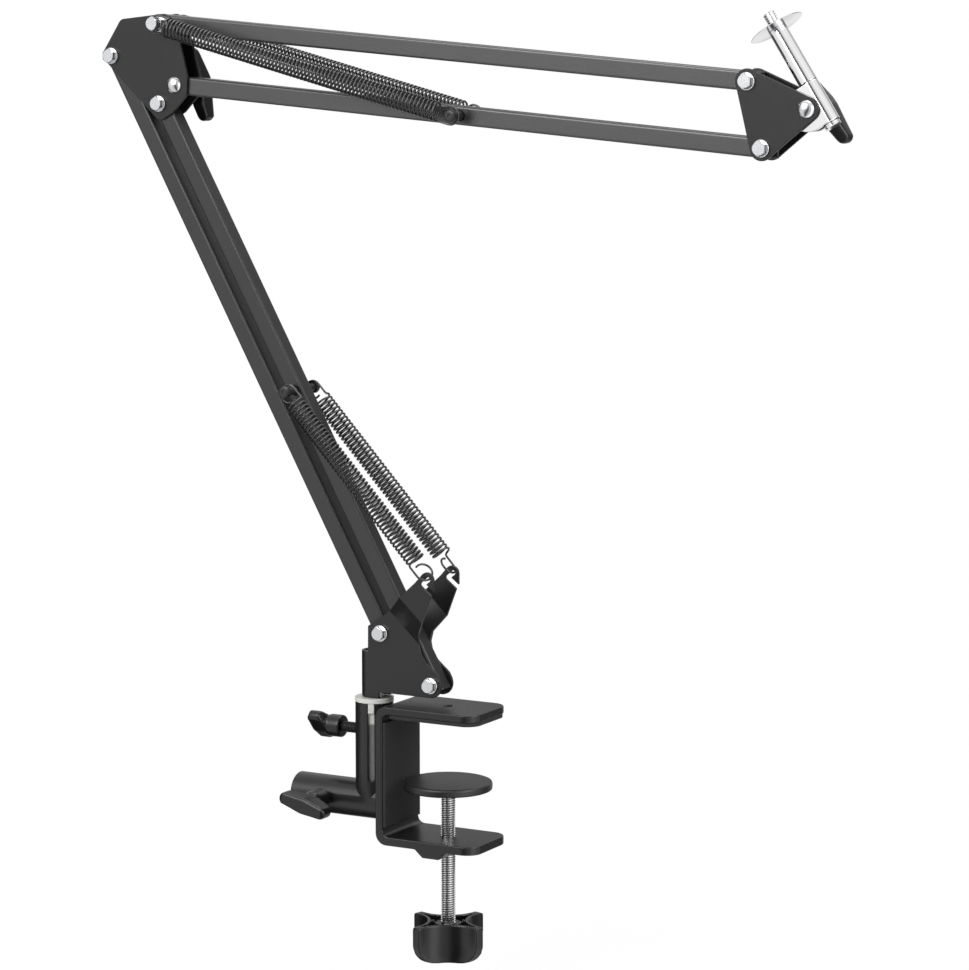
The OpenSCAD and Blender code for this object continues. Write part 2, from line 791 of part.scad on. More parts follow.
module head_washers() {
    color(zinc) {
        for (p = [pivot_h1, pivot_h2], y = [-washer_y, plate_y]) washer_at(p, y);
        washer_at(apex, plate_y);
    }
}

module head_nuts() {
    color(zinc) for (p = [pivot_h1, pivot_h2]) nut_at(p, washer_y);
}

module head_carriage_bolt() {
    carriage_bolt(apex);
}

module head_wing_nut() {
    wing_nut(apex, post_turn);
}

// Local frame of the post: x up along its axis, the swivel bolt post_off away.
module on_post() {
    at(apex) rotate([0, -post_turn, 0]) translate([0, 0, -post_off]) rotate([0, 90, 0]) children();
}

// Sheet folded round the post's neck, with two rounded ears on the swivel bolt.
module swivel_clip() {
    bore_r = neck_r + play;
    reach = post_off + ear_r + 1;
    roll_h = ear_r - 0.05;
    color(zinc) difference() {
        intersection() {
            on_post() translate([0, 0, -ear_r - 1]) linear_extrude(2 * ear_r + 2) difference() {
                slot([0, 0], [-reach, 0], 2 * body_r);
                slot([0, 0], [-2 * reach, 0], 2 * bore_r);
            }
            at(apex) rotate([0, -post_turn, 0]) xz(-plate_y, plate_y) {
                circle(ear_r);
                translate([-roll_h, -reach]) square([2 * roll_h, reach]);
            }
        }
        at(apex) ybar(bolt_r + play, -plate_y, plate_y);
    }
}

module mic_post() {
    color(zinc) on_post() rotate_extrude() polygon([
        [0, neck_low - foot_t], [4.4, neck_low - foot_t], [4.4, neck_low], [neck_r, neck_low],
        [neck_r, neck_high], [body_r - 0.4, neck_high], [body_r, neck_high + 0.4],
        [body_r, body_top - 0.4], [body_r - 0.4, body_top], [seat_r, body_top],
        [seat_r, stud_base], [stud_r, stud_base], [stud_r, stud_base + stud_len - 0.6],
        [stud_r - 0.6, stud_base + stud_len], [0, stud_base + stud_len]]);
}

module post_flange() {
    color(zinc) on_post() translate([0, 0, body_top]) difference() {
        cylinder(h = stud_base - body_top, r = flange_r, $fn = 40);
        translate([0, 0, -1]) cylinder(h = 4, r = seat_r);
    }
}

clamp_bracket();
top_pad();
wall_pad();
socket_stub();
pressure_disc();
disc_collar();
clamp_screw();
clamp_knob();
tee_socket();
nylon_sleeve();
tilt_lock_screw();
tilt_lock_wing();
pan_lock_screw();
pan_lock_wing();
base_bracket();
base_pin();
base_bolts();
base_washers();
base_nuts();
lower_main_tube();
lower_link_tube();
lower_spring_pin();
lower_spring_front();
lower_spring_rear();
elbow_plate_front();
elbow_plate_rear();
elbow_bolts();
elbow_washers();
elbow_nuts();
elbow_spring_bolt();
elbow_carriage_bolt();
elbow_wing_nut();
upper_main_tube();
upper_link_tube();
upper_spring_pin();
upper_spring_front();
upper_spring_rear();
head_plate_front();
head_plate_rear();
head_bolts();
head_washers();
head_nuts();
head_carriage_bolt();
head_wing_nut();
swivel_clip();
mic_post();
post_flange();
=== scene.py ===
"""Looks of the desk-clamp microphone boom arm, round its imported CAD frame.

The object's lengths are in millimetres and are turned to metres where a mesh is made.
Those of the camera, the lamps and the floor are in metres.
"""

import json
from math import asin, atan2, copysign, cos, pi, radians, sin, sqrt

import bmesh
import bpy
from mathutils import Matrix, Vector


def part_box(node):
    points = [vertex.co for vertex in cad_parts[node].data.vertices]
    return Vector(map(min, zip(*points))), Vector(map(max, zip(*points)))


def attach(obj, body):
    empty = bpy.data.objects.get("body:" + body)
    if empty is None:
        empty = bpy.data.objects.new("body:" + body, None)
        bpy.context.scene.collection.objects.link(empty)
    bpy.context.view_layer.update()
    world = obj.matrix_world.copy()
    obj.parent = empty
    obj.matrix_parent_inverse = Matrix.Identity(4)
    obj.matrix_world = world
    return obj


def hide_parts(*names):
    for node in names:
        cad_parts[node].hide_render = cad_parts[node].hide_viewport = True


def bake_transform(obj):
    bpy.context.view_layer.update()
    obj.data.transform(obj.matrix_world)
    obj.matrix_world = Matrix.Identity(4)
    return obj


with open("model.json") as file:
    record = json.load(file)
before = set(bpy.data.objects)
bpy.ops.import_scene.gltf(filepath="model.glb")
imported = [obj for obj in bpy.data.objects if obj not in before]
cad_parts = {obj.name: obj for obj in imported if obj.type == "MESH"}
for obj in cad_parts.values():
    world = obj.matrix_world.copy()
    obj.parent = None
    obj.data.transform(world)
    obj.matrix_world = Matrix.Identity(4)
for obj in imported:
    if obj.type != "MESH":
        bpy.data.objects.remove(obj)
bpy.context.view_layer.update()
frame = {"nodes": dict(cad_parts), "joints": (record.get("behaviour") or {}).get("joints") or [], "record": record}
scene = bpy.context.scene
scene.view_settings.view_transform = "Standard"


# Camera and studio
# A long lens looks from the front right and a little above. Three soft boxes light the arm,
# and a floor of white paper lies just under the knob at its lowest.

# place and direction were solved from the clamp, the tubes and the discs, whose sizes are known
camera = bpy.data.objects.new("camera", bpy.data.cameras.new("camera"))
camera.data.lens = 127.4
camera.data.sensor_width = 36
camera.location = (0.90183, -1.58616, 0.37327)
towards_camera = Vector((0.48045, -0.86675, 0.13381))
camera.rotation_euler = towards_camera.to_track_quat("Z", "Y").to_euler()
scene.collection.objects.link(camera)
scene.camera = camera


def colour(hex_code):
    """Linear colour of an sRGB hex value."""
    srgb = [int(hex_code[i : i + 2], 16) / 255 for i in (1, 3, 5)]
    return [c / 12.92 if c < 0.04045 else ((c + 0.055) / 1.055) ** 2.4 for c in srgb] + [1]


def add(tree, kind, inputs=None, **settings):
    """Adds a shader node with its settings, and its inputs by name or number, as values or links."""
    node = tree.nodes.new("ShaderNode" + kind)
    for key, value in settings.items():
        setattr(node, key, value)
    for key, value in (inputs or {}).items():
        if isinstance(value, bpy.types.NodeSocket):
            tree.links.new(value, node.inputs[key])
        else:
            node.inputs[key].default_value = value
    return node


def soft_box(name, place, aim, size, power):
    """Square soft box of a width in metres and a power in watts, turned to what it lights."""
    lamp = bpy.data.lights.new(name, "AREA")
    lamp.shape = "SQUARE"
    lamp.size = size
    lamp.energy = power
    box = bpy.data.objects.new(name, lamp)
    box.location = place
    box.rotation_euler = (Vector(place) - Vector(aim)).to_track_quat("Z", "Y").to_euler()
    scene.collection.objects.link(box)


soft_box("key_box", (-0.5, -1.9, 1.3), (0, 0, 0.15), size=1.4, power=34)
soft_box("side_box", (1.9, -0.2, 0.7), (0, 0, 0.1), size=1.0, power=12)
soft_box("top_box", (0.1, 0.5, 1.9), (0, 0, 0.1), size=1.6, power=22)

# cards that metal mirrors, all round from -X by way of the front: where each starts and ends,
# as shares of a turn, and its grey, or the greys of its two edges
cards = (
    (0.0, 0.055, 0.015), (0.08, 0.2, 0.5), (0.235, 0.3, 0.03), (0.33, 0.39, 0.4),
    (0.42, 0.47, 1.0), (0.5, 0.57, 0.5), (0.61, 0.7, 0.1, 0.08), (0.74, 0.77, 0.5),
    (0.79, 0.83, 0.12), (0.85, 0.885, 0.5), (0.91, 1.0, 0.015),
)


def mirrored_cards(tree, direction):
    """The grey of the card that stands in a direction, and the direction's height."""
    split = add(tree, "SeparateXYZ", {"Vector": direction})
    turn = add(tree, "Math", {0: split.outputs["Y"], 1: split.outputs["X"]}, operation="ARCTAN2")
    share = add(tree, "MapRange", {"Value": turn.outputs[0], "From Min": -pi, "From Max": pi})
    ring = add(tree, "ValToRGB", {"Fac": share.outputs["Result"]})
    stops = ring.color_ramp.elements
    for start, end, *greys in cards:
        for spot, grey in ((start, greys[0]), (end, greys[-1])):
            stop = stops[0] if spot == 0 else stops[-1] if spot == 1 else stops.new(spot)
            stop.color = (grey, grey, grey, 1)
    return ring.outputs["Color"], split.outputs["Z"]


def by_ray(tree, lighting, mirrored, seen):
    """One shader that lights the object, one that metal mirrors, and one that shows."""
    path = add(tree, "LightPath")
    result = lighting
    for ray, other in (
        ("Is Glossy Ray", mirrored), ("Is Transmission Ray", seen), ("Is Camera Ray", seen),
    ):
        result = add(tree, "MixShader",
                     {"Fac": path.outputs[ray], 1: result.outputs[0], 2: other.outputs[0]})
    return result.outputs[0]


world = bpy.data.worlds.new("studio")
scene.world = world
world.use_nodes = True
tree = world.node_tree
tree.nodes.clear()
ring, height = mirrored_cards(tree, add(tree, "TexCoord").outputs["Generated"])
# from 24 to 44 degrees up, the cards give way to an even grey ceiling
ceiling = add(tree, "MapRange", {"Value": height, "From Min": 0.4, "From Max": 0.7})
walls = add(tree, "MixRGB",
            {"Fac": ceiling.outputs["Result"], "Color1": ring, "Color2": colour("#b4b4b4")})
room = add(tree, "Background", {"Color": colour("#ffffff"), "Strength": 0.4})
mirrored = add(tree, "Background", {"Color": walls.outputs["Color"], "Strength": 2.0})
backdrop = add(tree, "Background", {"Color": colour("#ffffff"), "Strength": 1.0})
add(tree, "OutputWorld", {"Surface": by_ray(tree, room, mirrored, backdrop)})

joints = {joint["name"]: joint for joint in frame["joints"]}
knob_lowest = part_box("clamp_knob")[0].z + joints["disc_travel"]["range_m"][0]
floor_z, floor_half = knob_lowest - 0.0005, 12
corners = ((-1, -1), (1, -1), (1, 1), (-1, 1))
floor_mesh = bpy.data.meshes.new("floor")
floor_mesh.from_pydata(
    [(floor_half * x, floor_half * y, floor_z) for x, y in corners], [], [(0, 1, 2, 3)]
)
floor = bpy.data.objects.new("floor", floor_mesh)
scene.collection.objects.link(floor)
paper = bpy.data.materials.new("white studio paper")
paper.use_nodes = True
tree = paper.node_tree
tree.nodes.clear()
place = add(tree, "TexCoord").outputs["Object"]
spread = add(tree, "VectorMath", {"Vector": place}, operation="LENGTH")
# a trace of the object's shadow shows, and fades into white by 0.7 m
fade = add(tree, "MapRange", {"Value": spread.outputs["Value"], "From Min": 0.22, "From Max": 0.7,
                              "To Min": 0.94, "To Max": 1.0})
lit = add(tree, "BsdfDiffuse", {"Color": colour("#f2f2f2")})
glow = add(tree, "Emission", {"Color": colour("#ffffff"), "Strength": 1.0})
mirrored = add(tree, "Emission", {"Color": mirrored_cards(tree, place)[0], "Strength": 1.8})
pale = add(tree, "MixShader",
           {"Fac": fade.outputs["Result"], 1: lit.outputs[0], 2: glow.outputs[0]})
add(tree, "OutputMaterial", {"Surface": by_ray(tree, lit, mirrored, pale)})
floor_mesh.materials.append(paper)


# Desk clamp, socket body, bracket, plates and tubes
# Mild steel: the sheet is cut and bent, the socket is welded from round tube, the arms are square
# tube. A black powder coat leaves it satin, with a faint orange peel and soft, light edges.


def surface(name):
    """A material with only its shader and the place on the object, in metres."""
    material = bpy.data.materials.new(name)
    material.use_nodes = True
    tree = material.node_tree
    shader = next(n for n in tree.nodes if n.type == "BSDF_PRINCIPLED")
    return material, tree, shader, add(tree, "TexCoord").outputs["Object"]


def mottle(tree, place, socket, low, high, grain_mm):
    """Noise with clouds of a real size, from one value or colour to another."""
    noise = add(tree, "TexNoise", {"Vector": place, "Scale": 1000 / grain_mm, "Detail": 3})
    cloud = noise.outputs["Fac"]
    if isinstance(low, str):
        mix = add(tree, "MixRGB", {"Fac": cloud, "Color1": colour(low), "Color2": colour(high)})
        tree.links.new(mix.outputs["Color"], socket)
    else:
        span = add(tree, "MapRange", {"Value": cloud, "To Min": low, "To Max": high})
        tree.links.new(span.outputs["Result"], socket)


def relief(tree, place, shader, grain_mm, depth_mm):
    """Fine bumps of a real size."""
    grain = add(tree, "TexNoise", {"Vector": place, "Scale": 1000 / grain_mm, "Detail": 2})
    bump = add(tree, "Bump",
               {"Strength": 1.0, "Distance": depth_mm / 1000, "Height": grain.outputs["Fac"]})
    tree.links.new(bump.outputs[0], shader.inputs["Normal"])


def coat(name, low, high, ior):
    """Black powder coat between two shades, whose gloss goes with its refractive index."""
    material, tree, shader, place = surface(name)
    mottle(tree, place, shader.inputs["Base Color"], low, high, grain_mm=24)
    mottle(tree, place, shader.inputs["Roughness"], 0.27, 0.36, grain_mm=9)
    shader.inputs["IOR"].default_value = ior
    # the real peel is under half a millimetre, and is drawn at 0.9 mm so that it shows
    relief(tree, place, shader, grain_mm=0.9, depth_mm=0.01)
    return material


# the tubes get more shine than the sheet and lighter copies of its black coat, the upper pair most: the lighter
# colour is painted light, so that the tubes show brighter
powder_coat = coat("black powder coat on steel sheet", "#151516", "#1b1b1c", ior=1.48)
tube_coat_painted_lighter = coat("black satin coat on square tube", "#1c1c1d", "#222223", ior=1.6)
upper_tube_coat_painted_lightest = coat("black gloss coat on square tube", "#252526", "#2b2b2c", ior=1.78)


def evaluated(obj):
    """Puts an object's modifiers into its mesh."""
    graph = bpy.context.evaluated_depsgraph_get()
    mesh = bpy.data.meshes.new_from_object(obj.evaluated_get(graph))
    obj.modifiers.clear()
    obj.data = mesh
    return mesh


def shade(obj, sharp):
    """Smooth shading that keeps flats flat and edges over an angle crisp."""
    mesh = obj.data
    # normals that came in with the frame would blur the folds
    if "custom_normal" in mesh.attributes:
        mesh.attributes.remove(mesh.attributes["custom_normal"])
    shell = bmesh.new()
    shell.from_mesh(mesh)
    for face in shell.faces:
        face.smooth = True
    for edge in shell.edges:
        edge.smooth = edge.calc_face_angle(0) < radians(sharp)
    shell.to_mesh(mesh)
    shell.free()
    weigh = obj.modifiers.new("flats", "WEIGHTED_NORMAL")
    weigh.keep_sharp = True
    evaluated(obj)


body_nodes = frame["record"]["behaviour"]["bodies"]
body_of = {node: body for body, nodes in body_nodes.items() for node in nodes}


def soften(material, slot, edge_mm, *names):
    """Stands in for CAD nodes with the same shape, its sharp edges rounded over."""
    for name in names:
        shell = bmesh.new()
        shell.from_mesh(frame["nodes"][name].data)
        bmesh.ops.remove_doubles(shell, verts=shell.verts, dist=1e-6)
        bmesh.ops.dissolve_limit(
            shell, angle_limit=radians(0.5), verts=shell.verts, edges=shell.edges
        )
        mesh = bpy.data.meshes.new(name + "_coated")
        shell.to_mesh(mesh)
        shell.free()
        mesh.materials.append(material)
        obj = bpy.data.objects.new(name + "_coated", mesh)
        scene.collection.objects.link(obj)
        bevel = obj.modifiers.new("edges", "BEVEL")
        bevel.limit_method = "ANGLE"
        bevel.angle_limit = radians(32)
        bevel.width = edge_mm / 1000
        bevel.segments = 4
        bevel.use_clamp_overlap = False
        evaluated(obj)
        shade(obj, sharp=24)
        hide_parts(name)
        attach(obj, body_of[name])


soften(powder_coat, "black_paint", 0.7, "clamp_bracket")
soften(powder_coat, "black_paint", 0.35, "base_bracket", "elbow_plate_front", "elbow_plate_rear",
       "head_plate_front", "head_plate_rear", "tee_socket")
soften(tube_coat_painted_lighter, "black_paint", 0.8, "lower_main_tube", "lower_link_tube")
soften(upper_tube_coat_painted_lightest, "black_paint", 0.8, "upper_main_tube", "upper_link_tube")


# Clamp pads
# Thin black rubber sheet, glued into the jaw and on the wall so that the steel doesn't mark
# the desk. Dull, with a fine tooth.

sheet_rubber, tree, shader, place = surface("black rubber sheet")
mottle(tree, place, shader.inputs["Base Color"], "#1c1c1c", "#262626", grain_mm=6)
shader.inputs["Roughness"].default_value = 0.82
# the real tooth is finer, and is drawn at 0.7 mm so that it shows
relief(tree, place, shader, grain_mm=0.7, depth_mm=0.02)
soften(sheet_rubber, "rubber_pad", 0.3, "top_pad", "wall_pad")


# Pressure disc
# Pressed steel disc under the desk, which the screw pushes up without turning it. It has the
# clamp's powder coat, a little duller.

disc_coat, tree, shader, place = surface("dull black powder coat")
mottle(tree, place, shader.inputs["Base Color"], "#151516", "#1a1a1b", grain_mm=14)
mottle(tree, place, shader.inputs["Roughness"], 0.36, 0.46, grain_mm=7)
# the same peel, drawn as coarse as on the clamp
relief(tree, place, shader, grain_mm=0.9, depth_mm=0.015)
soften(disc_coat, "black_paint", 0.7, "pressure_disc")


# Clamp screw, its collar, the hidden stub and the pin of the base
# M8 steel rod with a rolled thread of 1.25 mm pitch, and turned parts, all zinc plated: bright
# metal with faint clouds in it.

zinc_plate, tree, shader, place = surface("zinc plated steel")
mottle(tree, place, shader.inputs["Base Color"], "#cfd0d3", "#dfe0e2", grain_mm=5)
shader.inputs["Metallic"].default_value = 1.0
mottle(tree, place, shader.inputs["Roughness"], 0.2, 0.28, grain_mm=3)
# crystals of zinc are too small to see, and are drawn at 0.8 mm
relief(tree, place, shader, grain_mm=0.8, depth_mm=0.004)
soften(zinc_plate, "zinc_steel", 0.3, "disc_collar", "socket_stub", "base_pin")


def on_circle(place, radius, angle, height):
    """Point round the local Z axis of a place."""
    return place @ Vector((radius * cos(angle), radius * sin(angle), height))


def turned(place, profile, sides=40):
    """Turned solid: a row of (radius, height) round the local Z axis."""
    points, faces, rows = [], [], []
    for radius, height in profile:
        count = sides if radius else 1
        rows.append([len(points) + k % count for k in range(sides)])
        points += [on_circle(place, radius, 2 * pi * k / sides, height) for k in range(count)]
    for low, high in zip(rows, rows[1:]):
        for k in range(sides):
            j = (k + 1) % sides
            faces.append(list(dict.fromkeys((low[k], low[j], high[j], high[k]))))
    return points, faces


def bar(place, radius, low, high):
    """Plain round bar along the local Z axis."""
    return turned(place, [(0, low), (radius, low), (radius, high), (0, high)])


def merge(shapes):
    """Several shapes as one."""
    points, faces = [], []
    for more_points, more_faces in shapes:
        faces += [[len(points) + i for i in face] for face in more_faces]
        points += more_points
    return points, faces


def thread(place, radius, pitch, length, sides=36):
    """Rolled thread along local Z: rows that climb a pitch a turn, cut off square at both ends."""
    root = radius - 0.61 * pitch
    # root, flank, crest and flank, as shares of a pitch
    steps = ((0.0, root), (0.14, root), (0.5, radius), (0.64, radius))
    turns = int(length / pitch) + 3
    rows = [(turn - 1.5 + share, r) for turn in range(turns) for share, r in steps]
    points, faces = [], []
    for row, r in rows:
        for k in range(sides):
            height = min(max(pitch * (row + k / sides), 0), length)
            points.append(on_circle(place, r, 2 * pi * k / sides, height))
    for i in range(len(rows) - 1):
        for k in range(sides):
            # the last side closes on the rows one turn further up
            up = len(steps) if k == sides - 1 else 0
            if i + 1 + up < len(rows):
                j = (k + 1) % sides
                faces.append([i * sides + k, (i + up) * sides + j,
                              (i + 1 + up) * sides + j, (i + 1) * sides + k])
    return merge([(points, faces), bar(place, root + 0.02, 0.01, length - 0.01)])


def piece(name, body, slot, material, shapes, *nodes, sharp=32):
    """A mesh from shapes in millimetres, riding on a body in place of CAD nodes."""
    points, faces = merge(shapes)
    mesh = bpy.data.meshes.new(name)
    mesh.from_pydata([p * 0.001 for p in points], [], faces)
    shell = bmesh.new()
    shell.from_mesh(mesh)
    bmesh.ops.dissolve_degenerate(shell, dist=2e-6, edges=shell.edges)
    bmesh.ops.recalc_face_normals(shell, faces=shell.faces)
    shell.to_mesh(mesh)
    shell.free()
    mesh.materials.append(material)
    obj = bpy.data.objects.new(name, mesh)
    scene.collection.objects.link(obj)
    shade(obj, sharp)
    if nodes:
        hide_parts(*nodes)
    if body:
        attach(obj, body)
    return obj


# painted shade sits in the thread's root, so the rod darkens inwards from its crest
zinc_with_painted_root_shade, tree, shader, place = surface("zinc plated thread with painted shade in its root")
level = add(tree, "VectorMath", {0: place, 1: (1, 1, 0)}, operation="MULTIPLY")
from_axis = add(tree, "VectorMath", {"Vector": level.outputs["Vector"]}, operation="LENGTH")
crest = add(tree, "MapRange",
            {"Value": from_axis.outputs["Value"], "From Min": 0.0031, "From Max": 0.0038})
zinc_or_painted_root_shade = add(tree, "MixRGB", {"Fac": crest.outputs["Result"],
                                      "Color1": colour("#38383a"), "Color2": colour("#f6f6f8")})
tree.links.new(zinc_or_painted_root_shade.outputs["Color"], shader.inputs["Base Color"])
shader.inputs["Metallic"].default_value = 1.0
mottle(tree, place, shader.inputs["Roughness"], 0.2, 0.28, grain_mm=3)


def mm(metres):
    """A length of the frame in millimetres, clear of its last binary digits."""
    return round(1000 * metres, 4)


rod_foot = mm(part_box("clamp_screw")[0].z)
rod_r, rod_pitch, rod_len = 4, 1.25, 86
# the plain end of the rod passes the collar into the disc
spigot = [(0, -42.6), (2.95, -42.6), (2.95, -37.8), (2.6, -37.5), (0, -37.5)]
piece(
    "threaded_rod", "screw", "zinc_steel", zinc_with_painted_root_shade,
    [thread(Matrix.Translation((0, 0, rod_foot)), rod_r, rod_pitch, rod_len),
     turned(Matrix(), spigot)],
    "clamp_screw",
)


# Clamp knob
# Moulded ABS: four horns with wide hollows between for the fingers, a bowl-shaped foot,
# and a hollow top whose ribs hold the boss on the rod. Deep black with a soft, broken shine.

moulded_abs, tree, shader, place = surface("black moulded ABS")
mottle(tree, place, shader.inputs["Base Color"], "#0b0b0c", "#0f0f10", grain_mm=10)
mottle(tree, place, shader.inputs["Roughness"], 0.24, 0.34, grain_mm=5)
# the mould's grain is finer, and is drawn at 0.8 mm so that it shows
relief(tree, place, shader, grain_mm=0.8, depth_mm=0.006)


def loft(rings):
    """Skin over closed rings of equal count, with both ends capped."""
    count = len(rings[0])
    faces = [list(range(count))[::-1], [(len(rings) - 1) * count + k for k in range(count)]]
    for i in range(len(rings) - 1):
        for k in range(count):
            j = (k + 1) % count
            faces.append([i * count + k, i * count + j, (i + 1) * count + j, (i + 1) * count + k])
    return [p for ring in rings for p in ring], faces


def fuse(obj, smooth=3):
    """Melts crossing solids into one moulded skin with small fillets, in half of its triangles."""
    remesh = obj.modifiers.new("skin", "REMESH")
    remesh.mode = "VOXEL"
    remesh.voxel_size = 0.45 / 1000
    relax = obj.modifiers.new("relax", "SMOOTH")
    relax.factor = 0.5
    relax.iterations = smooth
    thin = obj.modifiers.new("thin", "DECIMATE")
    thin.ratio = 0.5
    mesh = evaluated(obj)
    mesh.shade_smooth()
    mesh.set_sharp_from_angle(angle=radians(50))


horn_r, waist_r, hollow_r = 24.7, 11.3, 18.2
knob_turn = radians(29)


def scalloped(angle, outside, wall=0):
    """Distance from the axis to the knob's side at an angle: four horns, wide hollows between."""
    side = (angle - knob_turn + pi / 4) % (pi / 2) - pi / 4
    middle, cut = waist_r + hollow_r, hollow_r + wall
    aside = middle * sin(abs(side))
    if aside >= cut:
        return outside
    return min(outside, middle * cos(side) - sqrt(cut * cut - aside * aside))


knob_low, knob_top = (mm(corner.z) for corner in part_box("clamp_knob"))
# heights over the foot, and how far the horns stand in there: a bowl below, a small edge on top
bowl = ((0, 11), (0.5, 8.4), (1.4, 6), (2.8, 3.8), (4.6, 2.1), (6.8, 0.9), (9.5, 0.2),
        (11, 0), (20.3, 0), (21.1, 0.3), (21.5, 1.0))
around = [knob_turn + 2 * pi * k / 240 for k in range(240)]
rings = []
for rise, inset in bowl:
    # the hollows draw in too, by a third of that and about a millimetre at most
    radii = [max(scalloped(a, horn_r - inset) - 0.35 * min(inset, 3), 1.5) for a in around]
    rings.append([on_circle(Matrix(), r, a, knob_low + rise) for a, r in zip(around, radii)])
knob = piece("star_knob", "screw", "black_plastic", moulded_abs, [loft(rings)], "clamp_knob")

# a pocket in each horn, between its outer wall and the boss, and a shallow one over the boss
horn_wall, hollow_wall, pocket_depth = 2.2, 2.0, 11
boss_r, recess_r, recess_depth, above = 7.2, 7.6, 1.2, 2
wide, narrow = radians(41), radians(36)
pockets = []
for quarter in range(4):
    middle = knob_turn + pi / 4 + quarter * pi / 2
    outline = []
    for step in range(41):
        angle = middle - wide + 2 * wide * step / 40
        outline.append((scalloped(angle, horn_r - horn_wall, hollow_wall), angle))
    for step in range(21):
        outline.append((boss_r, middle + narrow - 2 * narrow * step / 20))
    pockets.append(loft([[on_circle(Matrix(), r, a, z) for r, a in outline]
                         for z in (knob_top - pocket_depth, knob_top + above)]))
pockets.append(bar(Matrix(), recess_r, knob_top - recess_depth, knob_top + above))
hollow = piece("knob_pockets", None, "black_plastic", moulded_abs, pockets)
cut = knob.modifiers.new("pockets", "BOOLEAN")
cut.object = hollow
cut.operation = "DIFFERENCE"
cut.use_self = True
evaluated(knob)
bpy.data.objects.remove(hollow)
fuse(knob)


# Nylon sleeve
# Natural nylon turned and slit, a slightly waxy white. Its flange carries the bracket,
# and its key fills the slot of the upright tube.

natural_nylon, tree, shader, place = surface("natural nylon")
height = add(tree, "SeparateXYZ", {"Vector": place}).outputs["Z"]
# painted shade: below the key the sleeve lies in the tube's shade, so it is painted greyer there
depth = add(tree, "MapRange", {"Value": height, "From Min": -0.0075, "From Max": -0.006})
painted_shade_or_nylon = add(tree, "MixRGB", {"Fac": depth.outputs["Result"], "Color1": colour("#747472")})
mottle(tree, place, painted_shade_or_nylon.inputs["Color2"], "#c8c8c5", "#d6d5d2", grain_mm=8)
tree.links.new(painted_shade_or_nylon.outputs["Color"], shader.inputs["Base Color"])
shader.inputs["Roughness"].default_value = 0.42
shader.inputs["Subsurface Weight"].default_value = 0.15
shader.inputs["Subsurface Scale"].default_value = 0.002
# turning marks are finer, and are drawn as a soft grain of 1.2 mm
relief(tree, place, shader, grain_mm=1.2, depth_mm=0.006)
soften(natural_nylon, "nylon", 0.3, "nylon_sleeve")


# Locking screws of the socket
# Blackened M6 screws in moulded ABS wings: a round hub, and a blade that swells at the middle.
# The steel is a dark grey with a weak metal sheen.

black_oxide, tree, shader, place = surface("blackened steel")
mottle(tree, place, shader.inputs["Base Color"], "#2b2b2c", "#363637", grain_mm=6)
shader.inputs["Metallic"].default_value = 0.35
mottle(tree, place, shader.inputs["Roughness"], 0.32, 0.44, grain_mm=3)
# the oxide's grain is too fine to see, and is drawn at 0.8 mm
relief(tree, place, shader, grain_mm=0.8, depth_mm=0.006)


def line_height(line, x):
    """Height of a side line, a row of (x, height), at some x."""
    for (x0, z0), (x1, z1) in zip(line, line[1:]):
        if x <= x1:
            return z0 + (z1 - z0) * (x - x0) / (x1 - x0)
    return line[-1][1]


def wing(place, low, high, length, width, hub_r, hub_h):
    """Hub along local Z, and over it a blade along X between a low and a high side line."""
    stations, sides = 48, 28
    half, end_r = length / 2, 0.36 * width
    straight = half - end_r
    rings = []
    for i in range(stations + 1):
        # closer together towards the tips, and not quite out to them
        x = -half * cos(pi * i / stations) * 0.9995
        if abs(x) < straight:
            w = width / 2 + (end_r - width / 2) * abs(x) / straight
        else:
            w = sqrt(max(end_r**2 - (abs(x) - straight) ** 2, 0.01))
        z0, z1 = line_height(low, x), line_height(high, x)
        ring = []
        for k in range(sides):
            c, s = cos(2 * pi * k / sides), sin(2 * pi * k / sides)
            # powers under one make a rounded box of the oval
            y = w * copysign(abs(c) ** 0.4, c)
            z = (z0 + z1) / 2 + (z1 - z0) / 2 * copysign(abs(s) ** 0.3, s)
            ring.append(place @ Vector((x, y, hub_h + z)))
        rings.append(ring)
    hub = turned(place, [(0, 0), (hub_r - 0.5, 0), (hub_r, 0.5), (hub_r, hub_h - 0.6),
                         (hub_r - 0.8, hub_h + 1.5), (0, hub_h + 2)])
    return [hub, loft(rings)]


def even(length, tall):
    """Side lines of a blade with both ends alike."""
    half, quarter, sunk = length / 2, length / 4, -0.4
    low = [(-half, tall * 0.3), (-quarter, sunk), (quarter, sunk), (half, tall * 0.3)]
    high = [(-half, tall - 1.5), (-half + 2, tall), (half - 2, tall), (half, tall - 1.5)]
    return low, high


def joint_at(name):
    """Where the frame has a joint."""
    return Vector([mm(c) for c in joints[name]["pos_m"]])


def further(place, distance, turn=0):
    """Place further along the local Z axis, turned about it by some degrees."""
    return place @ Matrix.Translation((0, 0, distance)) @ Matrix.Rotation(radians(turn), 4, "Z")


